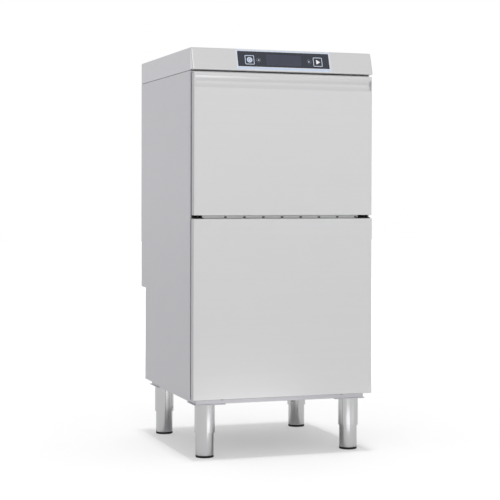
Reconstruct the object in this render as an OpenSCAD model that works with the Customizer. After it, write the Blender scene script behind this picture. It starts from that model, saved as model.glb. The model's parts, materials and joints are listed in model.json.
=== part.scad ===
// Tall front-loading commercial glass washer on four adjustable legs.
// Millimetres. +Z is up, the front faces -Y, +X is to the right as seen from the front.
// The origin is on the floor under the centre of the cabinet.

/* [Cabinet] */
// Overall width over the side panels
width = 600; // [580:5:640]
// Overall depth at the upper cabinet
depth = 620; // [610:5:660]
// Overall height from the floor to the top cover
height = 1270; // [1270:5:1300]
// Depth of the cabinet below the rear step
lower_depth = 564; // [560:2:580]
// Height of the rear step above the floor
step_z = 498; // [480:2:520]
// Height of the top cover and of the control fascia
cover_h = 70; // [66:1:80]
// How far the fascia leans back at its top
fascia_setback = 22; // [16:1:24]
// Thickness of the stainless sheet
sheet = 1.2; // [1:0.1:1.4]
// Height of the frame's underside above the floor
leg_h = 168; // [160:1:180]
// Height of the base frame's tube
frame_h = 16; // [14:1:20]

/* [Door] */
// Height of the door
door_h = 440.5; // [438:0.5:450]
// Gap between the fascia and the door
top_gap = 6.5; // [5:0.5:8]
// Gap between the door and the lower front panel
door_gap = 10; // [10:0.5:14]
// How far the door stands in from the cabinet's side
door_inset = 4; // [3:0.5:5]
// Depth of the door's folded edge
door_depth = 25; // [23:0.5:25]
// Gap behind the door
body_gap = 4; // [4:0.5:6]
// Height of the pull shaped into the top of the door
pull_h = 48; // [44:1:52]
// Height of the flat lip above the pull
pull_lip = 13; // [11:1:16]
// Depth of the pull
pull_depth = 8; // [5:0.5:10]
// Radius of the hinge pins
hinge_pin_r = 4; // [3.5:0.5:4.5]
// Length of the lever that the door spring pulls on
lever_length = 90; // [80:1:90]

/* [Controls] */
// Width of the control bezel
bezel_w = 312; // [300:1:330]
// Height of the control bezel along the slope
bezel_h = 66.5; // [62:0.5:67]
// Height of the dark window along the slope
window_h = 51.4; // [48:0.2:52]
// Side of the square keys
square_key = 32.5; // [28:0.5:33]
// Diameter of the small round keys
round_key = 16.5; // [12:0.5:17]
// Distance of the square keys from the middle
square_key_x = 113.5; // [110:0.5:118]
// Distance of the round keys from the middle
round_key_x = 84.5; // [82:0.5:88]
// Travel of a key
key_travel = 0.8; // [0.5:0.1:1]

/* [Legs] */
// Distance of the legs from the middle
leg_x = 242; // [236:1:246]
// Distance of the front legs behind the front face
front_leg_y = 60; // [56:1:64]
// Distance of the rear legs behind the front face
rear_leg_y = 528; // [520:1:528]
// Radius of the fixed leg sleeve
sleeve_r = 31.5; // [30:0.5:33]
// Radius of the adjustable foot
foot_r = 28; // [26:0.5:28]
// Height of the sleeve's lower end above the floor
sleeve_z = 77; // [74:1:80]

/* [Wash chamber] */
// Width of the chamber
chamber_w = 520; // [510:2:520]
// Floor of the chamber
chamber_z = 770; // [768:1:772]
// Ceiling of the chamber
chamber_top = 1176; // [1174:1:1180]
// Tip radius of the wash arms
wash_arm_r = 235; // [210:1:236]
// Tip radius of the rinse arms
rinse_arm_r = 225; // [200:1:230]

/* [Hidden] */
$fn = 48;

steel = [0.80, 0.80, 0.81];
side_steel = [0.73, 0.73, 0.75];
bright_steel = [0.70, 0.71, 0.72];
galvanised = [0.62, 0.64, 0.66];
black = [0.08, 0.08, 0.09];
dark_blue = [0.22, 0.23, 0.29];
pale_blue = [0.74, 0.80, 0.90];
grey_plastic = [0.55, 0.57, 0.60];
white_plastic = [0.88, 0.88, 0.86];
board_green = [0.10, 0.35, 0.22];
brass = [0.72, 0.58, 0.30];

// Planes of the cabinet
front = -depth / 2;
rear = depth / 2;
lower_rear = front + lower_depth;
side = width / 2;
side_in = side - sheet;
cover_z = height - cover_h;
panel_z = leg_h + frame_h;
door_top = cover_z - top_gap;
door_z = door_top - door_h;
panel_top = door_z - door_gap;
body_front = front + door_depth + body_gap;
cover_front = front + fascia_setback + 6;
seam = 0.6;
rear_inset = 2;
rear_face = rear - rear_inset;
lower_rear_face = lower_rear - rear_inset;
tiny = 0.2;

// Fascia slope
slope = atan(fascia_setback / cover_h);
slope_length = sqrt(fascia_setback * fascia_setback + cover_h * cover_h);
bezel_shift = 1;
window_shift = 3.25;
key_row = -0.1;
window_w = bezel_w - 7;
display_w = 120;
display_h = 40;
panel_t = 1.2;
key_gap = 0.3;
key_proud = 0.4;
key_back = 4;
board_z = -12;

// Door hinge
door_side = side - door_inset;
pivot_y = front + 13;
pivot_z = door_z + 9;
arm_x = 276;
arm_t = 5;
cheek_x = 284;
cheek_t = 4;
lever_angle = 42.5;
lever_dy = lever_length * cos(lever_angle);
lever_dz = lever_length * sin(lever_angle);
lever_pin_z = pivot_z - lever_dz;
spring_x = 269;
spring_pin_r = 2.5;
spring_base_z = 556;
hinge_zone_x = 262;

// Frame behind the door
frame_front = body_front + 1.4;
frame_t = 1.6;
frame_back = frame_front + frame_t;
post_x = cheek_x + cheek_t;
post_out = side - 1.4;
opening_w = 512;
opening_z = 800;
opening_top = 1160;
seal_w = 14;

// Wash chamber
chamber_x = chamber_w / 2;
chamber_rear = 238;
chamber_y = -20;
tank_x = 190;
tank_front = -210;
tank_rear = 170;
tank_z = 640;
journal_r = 12;
running_fit = 0.05;
lower_hub_z = 792;
upper_hub_z = 1136;
hub_h = 14;
hub_gap = 0.5;
drain_x = -140;
drain_y = 120;

// Legs
plate_t = 3;
sleeve_top = leg_h - plate_t;
sleeve_bore = foot_r + 0.5;
foot_pad_h = 6;
set_screw_z = sleeve_z + 14;
leg_places = [
  [-leg_x, front + front_leg_y],
  [leg_x, front + front_leg_y],
  [-leg_x, front + rear_leg_y],
  [leg_x, front + rear_leg_y]
];

// Services in the lower cabinet
floor_top = panel_z - 1;
pump_x = -120;
pump_z = 330;
volute_front = -160;
volute_back = -110;
motor_r = 58;
volute_r = 70;
boiler_x = 150;
boiler_y = 110;
boiler_r = 85;
boiler_z = 215;
boiler_h = 285;
doser_x = -225;
doser_z = 520;
inlet_x = 220;
inlet_z = 300;
inlet_thread_r = 13.2;
gland_x = -220;
gland_z = 260;
gland_bore_r = 8;
gland_thread_r = 12.5;
drain_z = 240;
drain_r = 16;
drain_tail_r = 14;
drain_tail = 40;
riser_y = 272;
suction_y = -192;

// ---------------------------------------------------------------- helpers

module block(low, high) {
  translate(low) cube(high - low);
}

module both_sides() {
  children();
  mirror([1, 0, 0]) children();
}

module rod_x(r, x0, x1) {
  translate([x0, 0, 0]) rotate([0, 90, 0]) cylinder(r = r, h = x1 - x0);
}

module rod_y(r, y0, y1) {
  translate([0, y0, 0]) rotate([-90, 0, 0]) cylinder(r = r, h = y1 - y0);
}

module round_rect(w, h, r) {
  square([w - 2 * r, h], center = true);
  square([w, h - 2 * r], center = true);
  for (x = [-1, 1], y = [-1, 1])
    translate([x * (w / 2 - r), y * (h / 2 - r)]) circle(r = r);
}

// A flat outline in Y and Z, extruded along X from x0 to x1
module along_x(x0, x1) {
  translate([x0, 0, 0])
    rotate([90, 0, 90])
      linear_extrude(x1 - x0) children();
}

// A flat outline in X and Z, extruded along Y from y0 to y1
module along_y(y0, y1) {
  translate([0, y1, 0])
    rotate([90, 0, 0])
      linear_extrude(y1 - y0) children();
}

// Local X, slope and outward directions on the middle of the fascia's face
module on_fascia() {
  translate([0, front + fascia_setback / 2, cover_z + cover_h / 2])
    rotate([90 - slope, 0, 0]) children();
}

// One straight run of pipe between two points that differ along one axis
module pipe_run(a, b, r) {
  d = b - a;
  low = [min(a[0], b[0]), min(a[1], b[1]), min(a[2], b[2])];
  if (d[0] != 0) translate([0, a[1], a[2]]) rod_x(r, low[0], low[0] + abs(d[0]));
  if (d[1] != 0) translate([a[0], 0, a[2]]) rod_y(r, low[1], low[1] + abs(d[1]));
  if (d[2] != 0) translate(low) cylinder(r = r, h = abs(d[2]));
}

module pipe_path(points, r) {
  for (i = [0 : len(points) - 2]) pipe_run(points[i], points[i + 1], r);
  for (i = [1 : len(points) - 2]) translate(points[i]) sphere(r = r);
}

// ---------------------------------------------------------------- cover and controls

module top_cover() {
  edge_r = 4;
  color(steel) {
    along_y(cover_front, rear) difference() {
      translate([0, cover_z + cover_h / 2]) cover_outline(width, cover_h, edge_r);
      translate([0, cover_z + cover_h / 2 - sheet])
        cover_outline(width - 2 * sheet, cover_h, edge_r - sheet);
    }
    block([-side_in, rear - sheet, cover_z], [side_in, rear, height - sheet]);
  }
}

// A rectangle with its two upper corners rounded
module cover_outline(w, h, r) {
  translate([0, -r / 2]) square([w, h - r], center = true);
  translate([0, h / 2 - r / 2]) square([w - 2 * r, r], center = true);
  for (x = [-1, 1]) translate([x * (w / 2 - r), h / 2 - r]) circle(r = r);
}

module fascia_section(inset) {
  low = cover_z + inset;
  top = height - inset;
  front_low = front + inset * 1.35;
  front_top = front + fascia_setback + inset * 0.8;
  back = cover_front - 0.4;
  polygon([[front_low, low], [front_top, top], [back, top], [back, low]]);
}

module control_fascia() {
  color(steel) difference() {
    along_x(-side, side) fascia_section(0);
    along_x(-side_in, side_in) fascia_section(sheet);
    block([-side_in, cover_front - 4, cover_z + sheet], [side_in, cover_front, height - sheet]);
    on_fascia()
      translate([-149, window_shift - 22, -4]) cube([298, 44, 8]);
  }
}

module control_bezel() {
  color(pale_blue) on_fascia() linear_extrude(panel_t) difference() {
    translate([0, bezel_shift]) round_rect(bezel_w, bezel_h, 3);
    translate([0, window_shift]) square([window_w, window_h], center = true);
  }
}

module key_places() {
  for (x = [-1, 1]) {
    translate([x * square_key_x, key_row]) round_rect(square_key, square_key, 4);
    translate([x * round_key_x, key_row]) circle(d = round_key);
  }
}

module control_window() {
  color(dark_blue) on_fascia() linear_extrude(panel_t) difference() {
    translate([0, window_shift]) square([window_w - tiny, window_h - tiny], center = true);
    key_places();
    translate([0, window_shift - 1]) square([display_w, display_h], center = true);
  }
}

module display_screen() {
  color([0.33, 0.35, 0.42]) on_fascia()
    translate([0, window_shift - 1, -1]) linear_extrude(panel_t + 1)
      square([display_w - tiny, display_h - tiny], center = true);
}

module square_key_cap(x) {
  color(dark_blue) on_fascia() translate([x, key_row, -key_back])
    linear_extrude(key_back + panel_t + key_proud)
      round_rect(square_key - 2 * key_gap, square_key - 2 * key_gap, 3.7);
}

module round_key_cap(x) {
  color(dark_blue) on_fascia() translate([x, key_row, -key_back])
    cylinder(d = round_key - 2 * key_gap, h = key_back + panel_t + key_proud);
}

module power_key() { square_key_cap(-square_key_x); }
module menu_key() { round_key_cap(-round_key_x); }
module select_key() { round_key_cap(round_key_x); }
module start_key() { square_key_cap(square_key_x); }

module control_board() {
  post_r = 3;
  switch_top = -key_back - key_travel - 0.4;
  color(board_green) on_fascia() translate([0, key_row, 0]) {
    translate([-147, -18, board_z]) cube([294, 36, 1.6]);
    for (x = [-1, 1], y = [-1, 1])
      translate([x * 141, y * 15, board_z + 1.6]) cylinder(r = post_r, h = -board_z - 1.6);
    for (x = [-square_key_x, -round_key_x, round_key_x, square_key_x])
      translate([x - 4, -4, board_z + 1.6]) cube([8, 8, switch_top - board_z - 1.6]);
    translate([-50, -14, board_z + 1.6]) cube([100, 28, -board_z - 1.6 - 1]);
  }
}

// ---------------------------------------------------------------- panels

module side_outline() {
  polygon([
    [body_front, panel_z],
    [lower_rear, panel_z],
    [lower_rear, step_z],
    [rear, step_z],
    [rear, cover_z - seam],
    [body_front, cover_z - seam]
  ]);
}

module side_panel() {
  flange = 9;
  ledge = 20;
  top = cover_z - seam;
  color(side_steel) {
    along_x(side_in, side) side_outline();
    block([side_in - flange, body_front, panel_z], [side_in, body_front + sheet, top]);
    block([side_in - ledge, body_front, panel_z],
          [side_in, lower_rear_face - sheet - tiny, panel_z + sheet]);
    block([side_in - flange, body_front, top - sheet], [side_in, rear_face - sheet - tiny, top]);
    block([side_in - flange, rear_face - 2 * sheet - tiny, step_z + 2],
          [side_in, rear_face - sheet - tiny, top]);
  }
}

module left_side_panel() { mirror([1, 0, 0]) side_panel(); }
module right_side_panel() { side_panel(); }

module rear_panel_upper() {
  louvre_w = 70;
  color(side_steel) difference() {
    union() {
      block([-side_in, rear_face - sheet, step_z], [side_in, rear_face, cover_z - seam]);
      block([-side_in, lower_rear, step_z], [side_in, rear_face, step_z + sheet]);
    }
    for (x = [-2 : 2], z = [0 : 5])
      translate([x * 95 - louvre_w / 2, rear - 5, 560 + z * 16]) cube([louvre_w, 10, 4]);
    for (x = [-2 : 2], z = [0 : 3])
      translate([x * 95 - louvre_w / 2, rear - 5, 1100 + z * 16]) cube([louvre_w, 10, 4]);
  }
}

module rear_panel_lower() {
  color(side_steel) difference() {
    block([-side_in, lower_rear_face - sheet, panel_z], [side_in, lower_rear_face, step_z]);
    translate([inlet_x, 0, inlet_z]) rod_y(inlet_thread_r + 1, 240, 260);
    translate([drain_x, 0, drain_z]) rod_y(drain_r + 1, 240, 260);
    translate([gland_x, 0, gland_z]) rod_y(gland_thread_r + 0.1, 240, 260);
  }
}

module lower_front_panel() {
  half = side - 2.5;
  return_d = 24;
  tab_w = 20;
  color(steel) {
    difference() {
      block([-half, front, panel_z], [half, front + return_d, panel_top]);
      block([-half + sheet, front + sheet, panel_z + sheet],
            [half - sheet, front + return_d + 1, panel_top - sheet]);
      block([-half + sheet, front + 7, panel_top - 5], [half - sheet, front + return_d + 1, panel_top + 1]);
    }
    for (x = [-1, 1], z = [panel_z + 20, panel_top - 20])
      translate([x * 230 - tab_w / 2, front + sheet, z])
        cube([tab_w, frame_front - front - sheet - 0.1, 2]);
  }
}

module set_screw(place) {
  inward = atan2(-place[1], -place[0]);
  translate([place[0], place[1], set_screw_z])
    rotate([0, 90, inward])
      translate([0, 0, foot_r + 0.6]) difference() {
        cylinder(r = 2.9, h = 3.2);
        translate([0, 0, 1.4]) cylinder(r = 1.5, h = 3, $fn = 6);
      }
}

module cabinet_screws() {
  color(black) {
    for (place = leg_places) set_screw(place);
    for (x = [-1, 1]) translate([x * 200, front + 14, panel_z - 2.4]) cylinder(r = 4, h = 2.4);
  }
  color(bright_steel) {
    for (x = [-280, -95, 95, 280], z = [530, 1185])
      translate([x, 0, z]) rod_y(4, rear_face, rear);
    for (x = [-280, 280], z = [210, 480])
      translate([x, 0, z]) rod_y(4, lower_rear_face, lower_rear);
  }
}

// ---------------------------------------------------------------- frame and gutter

module front_frame() {
  color(steel) difference() {
    block([-post_out, frame_front, panel_z + 2], [post_out, frame_back, cover_z - 2]);
    block([-opening_w / 2, frame_front - 1, opening_z], [opening_w / 2, frame_back + 1, opening_top]);
    block([-268, frame_front - 1, 215], [268, frame_back + 1, 700]);
    both_sides()
      block([arm_x - 2.5, frame_front - 1, pivot_z - 35],
            [cheek_x + cheek_t + 1, frame_back + 1, pivot_z + 35]);
    gutter_slots(frame_front - 1, frame_back + 1);
  }
}

module gutter_slots(y0, y1) {
  slot_first = -185;
  slot_pitch = 62.5;
  for (i = [0 : 7])
    translate([slot_first + i * slot_pitch - 4, y0, panel_top + 2]) cube([8, y1 - y0, 4]);
}

module drip_gutter() {
  back = frame_front - 0.1;
  trough_z = panel_top - 16;
  trough_y = front + 9;
  color(steel) difference() {
    along_x(-hinge_zone_x + 1, hinge_zone_x - 1) polygon([
      [back, door_z + 5],
      [back - sheet, door_z + 5],
      [back - sheet, trough_z + sheet],
      [trough_y + sheet, trough_z + sheet],
      [trough_y + sheet, trough_z + 8],
      [trough_y, trough_z + 8],
      [trough_y, trough_z],
      [back, trough_z]
    ]);
    gutter_slots(back - 3, back + 3);
  }
}

// ---------------------------------------------------------------- door

// Height and depth of the points along the pull, from its lower edge to the lip
function pull_z(u) = door_top - pull_h + u * (pull_h - pull_lip);
function pull_y(u) = pull_depth * (1 - cos(360 * pow(u, 0.85))) / 2;
function skin_points(offset_y) = [
  for (i = [0 : 16]) [front + offset_y + pull_y(i / 16), pull_z(i / 16)]
];

module door_section() {
  outer = skin_points(0);
  inner = skin_points(sheet);
  back = front + door_depth;
  polygon(concat(
    [[back, door_z], [front, door_z]],
    outer,
    [[front, door_top - 3], [front + 3, door_top], [back, door_top]],
    [[back, door_top - sheet], [front + 3.5, door_top - sheet], [front + sheet, door_top - 3.5]],
    [for (i = [16 : -1 : 0]) inner[i]],
    [[front + sheet, door_z + sheet], [back, door_z + sheet]]
  ));
}

module door_outer_skin() {
  cap = 4;
  back = front + door_depth;
  color(steel) difference() {
    union() {
      along_x(-door_side + cap, door_side - cap) door_section();
      both_sides() difference() {
        block([door_side - cap, front, door_z], [door_side, back, door_top]);
        block([door_side - cap - 1, front + sheet, door_z + sheet],
              [door_side - sheet, back + 1, door_top - sheet]);
      }
      both_sides()
        block([door_side - cap - sheet, front, door_top - pull_h],
              [door_side - cap, front + pull_depth + sheet, door_top - pull_lip + 1]);
    }
    both_sides()
      block([hinge_zone_x, front + sheet, door_z - 1], [door_side - sheet, back + 1, door_z + 2]);
  }
}

module door_inner_skin() {
  face = front + door_depth - 2;
  skin_x = door_side - sheet - tiny;
  emboss = 3.5;
  color(bright_steel) difference() {
    union() {
      block([-skin_x, face, pivot_z + 11], [skin_x, face + sheet, door_top - 5]);
      block([-248, face, 812], [248, face + sheet + emboss, 1148]);
    }
    block([-248 + sheet, face - 1, 812 + sheet], [248 - sheet, face + emboss, 1148 - sheet]);
  }
}

// A plate inside each end of the door, with a lever for the spring below the pin
module hinge_arm() {
  plate_y0 = front + sheet;
  plate_y1 = front + door_depth - 4;
  difference() {
    union() {
      block([arm_x, plate_y0, pivot_z], [arm_x + arm_t, plate_y1, pivot_z + 75]);
      block([arm_x - 12, plate_y0, pivot_z + 20], [arm_x + 1, plate_y0 + 2, pivot_z + 75]);
      translate([0, pivot_y, pivot_z]) {
        rod_x(9, arm_x, arm_x + arm_t);
        rotate([-lever_angle, 0, 0]) block([arm_x, 0, -6], [arm_x + arm_t, lever_length, 6]);
        translate([0, lever_dy, -lever_dz]) {
          rod_x(8, arm_x, arm_x + arm_t);
          rod_x(spring_pin_r, arm_x - 14, arm_x + 1);
        }
      }
    }
    translate([0, pivot_y, pivot_z]) rod_x(hinge_pin_r + 1.6, arm_x - 20, arm_x + arm_t + 1);
  }
}

module door_hinge_arms() {
  color(galvanised) both_sides() hinge_arm();
}

// Black plastic bushes that turn on the hinge pins
module door_knuckles() {
  color(black) both_sides() translate([0, pivot_y, pivot_z]) difference() {
    union() {
      rod_x(hinge_pin_r + 1.6, arm_x, arm_x + arm_t + 0.5);
      rod_x(8.5, hinge_zone_x + 4, arm_x);
    }
    rod_x(hinge_pin_r + running_fit, hinge_zone_x, arm_x + arm_t + 2);
  }
}

module door_seal() {
  x1 = opening_w / 2 + seal_w;
  color(black) along_y(front + door_depth - 0.4, frame_front) difference() {
    translate([0, (opening_z + opening_top) / 2])
      round_rect(2 * x1, opening_top - opening_z + 2 * seal_w, 10);
    translate([0, (opening_z + opening_top) / 2])
      round_rect(opening_w + 4, opening_top - opening_z + 4, 6);
  }
}

module hinge_brackets() {
  color(galvanised) both_sides() difference() {
    union() {
      block([cheek_x, pivot_y, pivot_z - 6], [cheek_x + cheek_t, -262, pivot_z + 6]);
      block([cheek_x, frame_back, pivot_z - 20], [cheek_x + cheek_t, -262, pivot_z + 20]);
      translate([0, pivot_y, pivot_z]) rod_x(7, cheek_x, cheek_x + cheek_t);
    }
    translate([0, pivot_y, pivot_z]) rod_x(hinge_pin_r + 0.02, cheek_x - 1, cheek_x + cheek_t + 1);
  }
}

module hinge_pins() {
  color(bright_steel) both_sides() translate([0, pivot_y, pivot_z]) {
    rod_x(hinge_pin_r, hinge_zone_x + 5, cheek_x + cheek_t + 2);
    rod_x(hinge_pin_r + 2, cheek_x + cheek_t, cheek_x + cheek_t + 2);
  }
}

module hinge_covers() {
  y0 = front + 8;
  color(black) both_sides() difference() {
    block([hinge_zone_x, y0, panel_top - 12], [door_side - 1, body_front, pivot_z]);
    translate([0, pivot_y, pivot_z]) rod_x(17, hinge_zone_x - 1, side);
    block([arm_x - 2, pivot_y + 1, panel_top - 20], [arm_x + arm_t + 2, frame_back, pivot_z + 1]);
  }
}

// ---------------------------------------------------------------- door springs

module spring_hook(z) {
  translate([spring_x, pivot_y + lever_dy, z])
    rotate([0, 90, 0])
      rotate_extrude() translate([4.4, 0]) circle(r = 1.2, $fn = 24);
}

// Close-wound coils as a tube with a ridge for each turn, and a hooked loop at each end
module door_springs() {
  coil_out = 6;
  coil_in = 3.4;
  groove = 0.9;
  pitch = 2.4;
  low = spring_base_z + 8;
  turns = floor((lever_pin_z - 8 - low) / pitch);
  color(bright_steel) both_sides() {
    translate([spring_x, pivot_y + lever_dy, low])
      rotate_extrude() polygon(concat(
        [for (i = [0 : 2 * turns]) [coil_out - (i % 2 == 0 ? groove : 0), i * pitch / 2]],
        [[coil_in, turns * pitch], [coil_in, 0]]
      ));
    for (z = [spring_base_z, lever_pin_z]) spring_hook(z);
    for (z = [low - 4, low + turns * pitch - 1])
      translate([spring_x, pivot_y + lever_dy + 4.4, z]) cylinder(r = 1.2, h = 5);
  }
}

module spring_anchors() {
  y0 = pivot_y + lever_dy;
  plate = 3;
  color(galvanised) both_sides() {
    block([arm_x, -272, spring_base_z - 11], [post_x, -269, spring_base_z + 9]);
    block([arm_x, -272, spring_base_z - 11], [arm_x + plate, y0 + 9, spring_base_z + 9]);
    translate([0, y0, spring_base_z]) rod_x(spring_pin_r, arm_x - 13, arm_x + 1);
  }
}

module door_magnet() {
  color(grey_plastic)
    block([200, front + door_depth - 6, 1168], [222, front + door_depth - 2, 1180]);
}

module door_switch() {
  color(grey_plastic) block([200, frame_back, 1178], [222, frame_back + 12, 1190]);
}

// ---------------------------------------------------------------- base and legs

module base_frame() {
  frame_x = 280;
  frame_y0 = front + 27;
  frame_y1 = lower_rear - 14;
  rail = 30;
  color(side_steel) {
    difference() {
      block([-frame_x, frame_y0, leg_h], [frame_x, frame_y1, panel_z]);
      block([-frame_x + rail, frame_y0 + rail, leg_h - 1], [frame_x - rail, frame_y1 - rail, panel_z - 3]);
      block([-frame_x + rail, frame_y0 + rail, panel_z - 1], [frame_x - rail, frame_y1 - rail, panel_z + 1]);
    }
    both_sides() {
      block([184, frame_y0 - 3, sleeve_top], [284, frame_y0 + 84, leg_h]);
      block([184, frame_y1 - 84, sleeve_top], [284, frame_y1 + 12, leg_h]);
    }
  }
}

module post(y0, y1, toward) {
  post_t = 2;
  face = toward > 0 ? y0 : y1 - post_t;
  block([post_x, y0, panel_z + sheet], [post_x + post_t, y1, cover_z - 2]);
  block([post_x, face, panel_z + sheet], [post_out, face + post_t, cover_z - 2]);
}

module chassis_posts() {
  color(galvanised) both_sides() {
    post(frame_back, frame_back + 20, 1);
    post(lower_rear - 28, lower_rear - 6, -1);
  }
}

module leg_sleeves() {
  color(bright_steel) for (place = leg_places)
    translate([place[0], place[1], 0]) difference() {
      translate([0, 0, sleeve_z]) cylinder(r = sleeve_r, h = sleeve_top - sleeve_z);
      translate([0, 0, sleeve_z - 1]) cylinder(r = sleeve_bore, h = sleeve_top - sleeve_z - 2);
      translate([0, 0, set_screw_z])
        rotate([0, 90, atan2(-place[1], -place[0])]) cylinder(r = 3, h = 40);
    }
}

module foot(place) {
  tube_h = 128;
  translate([place[0], place[1], 0]) {
    color(bright_steel) difference() {
      translate([0, 0, foot_pad_h]) cylinder(r = foot_r, h = tube_h);
      translate([0, 0, foot_pad_h + 4]) cylinder(r = foot_r - 3, h = tube_h);
    }
    color(black) cylinder(r = foot_r + 0.4, h = foot_pad_h);
  }
}

module front_left_foot() { foot(leg_places[0]); }
module front_right_foot() { foot(leg_places[1]); }
module rear_left_foot() { foot(leg_places[2]); }
module rear_right_foot() { foot(leg_places[3]); }

// ---------------------------------------------------------------- wash chamber

module wash_chamber() {
  color(bright_steel) difference() {
    block([-chamber_x, frame_back, chamber_z], [chamber_x, chamber_rear, chamber_top]);
    block([-chamber_x + sheet, frame_back - 1, chamber_z + sheet],
          [chamber_x - sheet, chamber_rear - sheet, chamber_top - sheet]);
    block([-tank_x + sheet, tank_front + sheet, chamber_z - 1],
          [tank_x - sheet, tank_rear - sheet, chamber_z + 3]);
    translate([0, chamber_y, chamber_top - 10]) cylinder(r = 16.2, h = 20);
  }
}

module wash_tank() {
  color(bright_steel) difference() {
    block([-tank_x, tank_front, tank_z], [tank_x, tank_rear, chamber_z]);
    block([-tank_x + sheet, tank_front + sheet, tank_z + sheet],
          [tank_x - sheet, tank_rear - sheet, chamber_z + 1]);
    translate([0, chamber_y, tank_z - 1]) cylinder(r = 16.2, h = 4);
    translate([pump_x, suction_y, tank_z - 1]) cylinder(r = 14, h = 4);
    translate([drain_x, drain_y, tank_z - 1]) cylinder(r = 12, h = 4);
    for (x = [-1, 1]) translate([120 + x * 20, 0, 668]) rod_y(4.2, tank_rear - 5, tank_rear + 5);
  }
}

module tank_filter() {
  filter_z = chamber_z + sheet;
  color(bright_steel) translate([0, 0, filter_z]) linear_extrude(1.5) difference() {
    translate([0, (tank_front + tank_rear) / 2]) round_rect(2 * tank_x + 8, tank_rear - tank_front + 8, 6);
    translate([0, chamber_y]) circle(r = 24);
    translate([drain_x, drain_y]) circle(r = 20);
    for (x = [-7 : 7], y = [-5 : 5])
      if (norm([x * 22, y * 30]) > 42 && norm([x * 22 - drain_x, y * 30 - drain_y - 20]) > 40)
        translate([x * 22, chamber_y + y * 30]) square([4, 22], center = true);
  }
}

module overflow_pipe() {
  color(grey_plastic) translate([drain_x, drain_y, 0]) difference() {
    union() {
      translate([0, 0, tank_z + sheet + 0.3]) cylinder(r = 16, h = 8);
      translate([0, 0, tank_z + sheet + 0.3]) cylinder(r = 13, h = 118);
      translate([0, 0, 756]) cylinder(r = 17, h = 7);
    }
    translate([0, 0, tank_z]) cylinder(r = 10, h = 140);
  }
}

// ---------------------------------------------------------------- spray arms

module arm_hub(h) {
  translate([0, chamber_y, 0]) difference() {
    cylinder(r = 24, h = h);
    translate([0, 0, -1]) cylinder(r = journal_r + running_fit, h = h + 2);
  }
}

// Two hollow blades with nozzles on the side that faces the rack
module wash_arm() {
  blade_h = 12;
  arm_hub(hub_h);
  translate([0, chamber_y, 0]) both_sides() difference() {
    union() {
      translate([0, 0, 1]) linear_extrude(blade_h) {
        polygon([[18, -19], [wash_arm_r - 14, -13], [wash_arm_r - 14, 13], [18, 19]]);
        translate([wash_arm_r - 14, 0]) circle(r = 13);
      }
    }
    translate([0, 0, 2.5]) linear_extrude(blade_h - 3)
      polygon([[26, -16], [wash_arm_r - 16, -10], [wash_arm_r - 16, 10], [26, 16]]);
    cylinder(r = 23, h = 60, center = true);
    for (i = [0 : 4])
      translate([60 + i * 36, i % 2 == 0 ? 5 : -5, 8]) cylinder(r = 2.5, h = 10);
  }
}

module rinse_arm() {
  tube_r = 5;
  arm_hub(hub_h - 4);
  translate([0, chamber_y, 5]) both_sides() difference() {
    union() {
      rod_x(tube_r, 22, rinse_arm_r - 5);
      translate([rinse_arm_r - 5, 0, 0]) sphere(r = tube_r);
    }
    rod_x(tube_r - 1.2, 24, rinse_arm_r - 6);
    translate([0, 0, -20]) cylinder(r = 23, h = 40);
    for (i = [0 : 5]) translate([50 + i * 30, 0, 0]) cylinder(r = 1.2, h = 10);
  }
}

module lower_wash_arm() {
  color(bright_steel) translate([0, 0, lower_hub_z + hub_gap]) wash_arm();
}

module lower_rinse_arm() {
  color(bright_steel) translate([0, 0, lower_hub_z + hub_h + 2 * hub_gap])
    translate([0, chamber_y, 0]) rotate([0, 0, 90]) translate([0, -chamber_y, 0]) rinse_arm();
}

// The upper pair hangs from the ceiling with its nozzles facing down
module upside_down(z) {
  translate([0, 0, z]) mirror([0, 0, 1]) children();
}

module upper_wash_arm() {
  color(bright_steel) upside_down(upper_hub_z + 2 * hub_h - hub_gap) wash_arm();
}

module upper_rinse_arm() {
  color(bright_steel) upside_down(upper_hub_z + hub_h - 2 * hub_gap)
    translate([0, chamber_y, 0]) rotate([0, 0, 90]) translate([0, -chamber_y, 0]) rinse_arm();
}

module spindle_head() {
  stack = 2 * hub_h - 4 + 3 * hub_gap;
  cylinder(r = journal_r, h = stack);
  translate([0, 0, stack]) cylinder(r = 6, h = 8);
}

module arm_spindles() {
  color(grey_plastic) translate([0, chamber_y, 0]) {
    translate([0, 0, tank_z - 8]) cylinder(r = 16, h = lower_hub_z - tank_z + 8);
    translate([0, 0, lower_hub_z]) spindle_head();
    translate([0, 0, upper_hub_z + 2 * hub_h])
      cylinder(r = 16, h = chamber_top - upper_hub_z - 2 * hub_h + 12);
    upside_down(upper_hub_z + 2 * hub_h) spindle_head();
  }
}

// A round knob with six finger notches
module knob() {
  difference() {
    cylinder(r = 17, h = 9);
    for (a = [15 : 60 : 315]) rotate(a) translate([20, 0, -1]) cylinder(r = 5, h = 11);
    translate([0, 0, -1]) cylinder(r = 6.1, h = 9.5);
  }
}

module arm_nuts() {
  stack = 2 * hub_h - 4 + 3 * hub_gap;
  color(grey_plastic) translate([0, chamber_y, 0]) {
    translate([0, 0, lower_hub_z + stack]) knob();
    upside_down(upper_hub_z + 2 * hub_h - stack) knob();
  }
}

module rack_guides() {
  wall = chamber_x - sheet;
  guide_z = 848;
  color(bright_steel) both_sides() {
    block([wall - 20, -272, guide_z], [wall, 228, guide_z + 3]);
    block([wall - 3, -272, guide_z - 12], [wall, 228, guide_z + 3]);
    block([wall - 20, -272, guide_z - 6], [wall - 17, 228, guide_z + 3]);
  }
}

// ---------------------------------------------------------------- pump and water

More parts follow.
